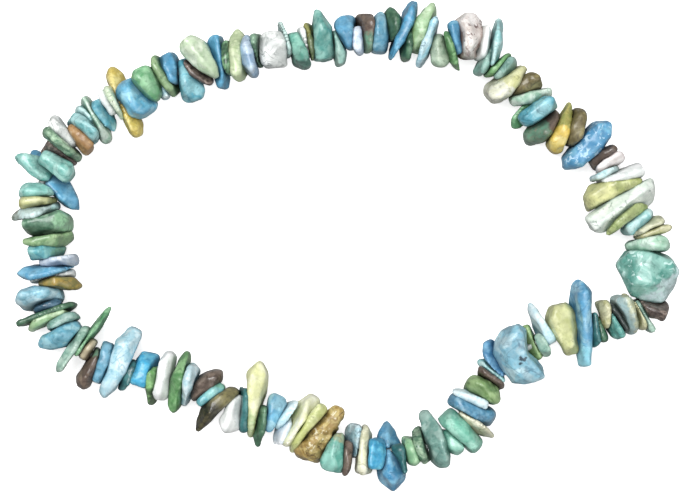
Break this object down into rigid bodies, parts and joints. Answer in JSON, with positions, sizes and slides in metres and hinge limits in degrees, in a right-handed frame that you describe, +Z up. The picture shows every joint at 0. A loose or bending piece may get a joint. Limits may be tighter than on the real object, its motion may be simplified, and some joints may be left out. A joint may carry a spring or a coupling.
{
  "type": "gemstone chip bracelet",
  "caption": "Stretch bracelet of tumbled gemstone chips in blues, greens and creams, strung tightly on one elastic thread and lying as a loose oval ring",
  "frame": {"origin": "middle of the ring in plan, on the surface that it lies on", "axes": "+X along the longer way across the ring, +Y along the shorter one, +Z up from the surface"},
  "size_m": [0.073, 0.0538, 0.0062],
  "materials": {
    "stone_azure": "tumbled and polished azure stone",
    "stone_brown": "tumbled and polished brown stone",
    "stone_celadon": "tumbled and polished celadon stone",
    "stone_cream": "tumbled and polished cream stone",
    "stone_ice": "tumbled and polished ice stone",
    "stone_jade": "tumbled and polished jade stone",
    "stone_mint": "tumbled and polished mint stone",
    "stone_mixed": "small tumbled chips of mixed stones, glossy, on one elastic thread",
    "stone_moss": "tumbled and polished moss stone",
    "stone_olive": "tumbled and polished olive stone",
    "stone_sky": "tumbled and polished sky stone",
    "stone_steel": "tumbled and polished steel stone",
    "stone_tan": "tumbled and polished tan stone",
    "stone_teal": "tumbled and polished teal stone",
    "stone_white": "tumbled and polished white stone",
    "stone_yellow": "tumbled and polished yellow stone"
  },
  "bodies": {
    "root": {"chip_01_yellow": "stone_yellow", "chip_02_sky": "stone_sky", "chip_03_jade": "stone_jade", "chip_04_sky": "stone_sky", "chip_05_celadon": "stone_celadon", "chip_06_celadon": "stone_celadon", "chip_07_white": "stone_white", "chip_08_teal": "stone_teal", "chip_09_steel": "stone_steel", "chip_10_sky": "stone_sky", "chip_11_celadon": "stone_celadon", "chip_12_cream": "stone_cream", "chip_13_cream": "stone_cream", "chip_14_brown": "stone_brown", "chip_15_yellow": "stone_yellow", "chip_16_steel": "stone_steel", "chip_17_olive": "stone_olive", "chip_18_celadon": "stone_celadon", "chip_19_mint": "stone_mint", "chip_20_teal": "stone_teal", "chip_21_sky": "stone_sky", "chip_22_yellow": "stone_yellow", "chip_23_sky": "stone_sky", "chip_24_steel": "stone_steel", "chip_25_mint": "stone_mint", "chip_26_teal": "stone_teal", "chip_27_steel": "stone_steel", "chip_28_teal": "stone_teal", "chip_29_tan": "stone_tan", "chip_30_olive": "stone_olive", "chip_31_cream": "stone_cream", "chip_32_celadon": "stone_celadon", "chip_33_brown": "stone_brown", "chip_34_azure": "stone_azure", "chip_35_ice": "stone_ice", "chip_36_sky": "stone_sky", "chip_37_ice": "stone_ice", "chip_38_steel": "stone_steel", "chip_39_moss": "stone_moss", "chip_40_steel": "stone_steel", "run_1": "stone_mixed", "run_2": "stone_mixed", "run_3": "stone_mixed", "run_4": "stone_mixed", "run_5": "stone_mixed", "run_6": "stone_mixed", "run_7": "stone_mixed", "run_8": "stone_mixed"}
  },
  "joints": []
}
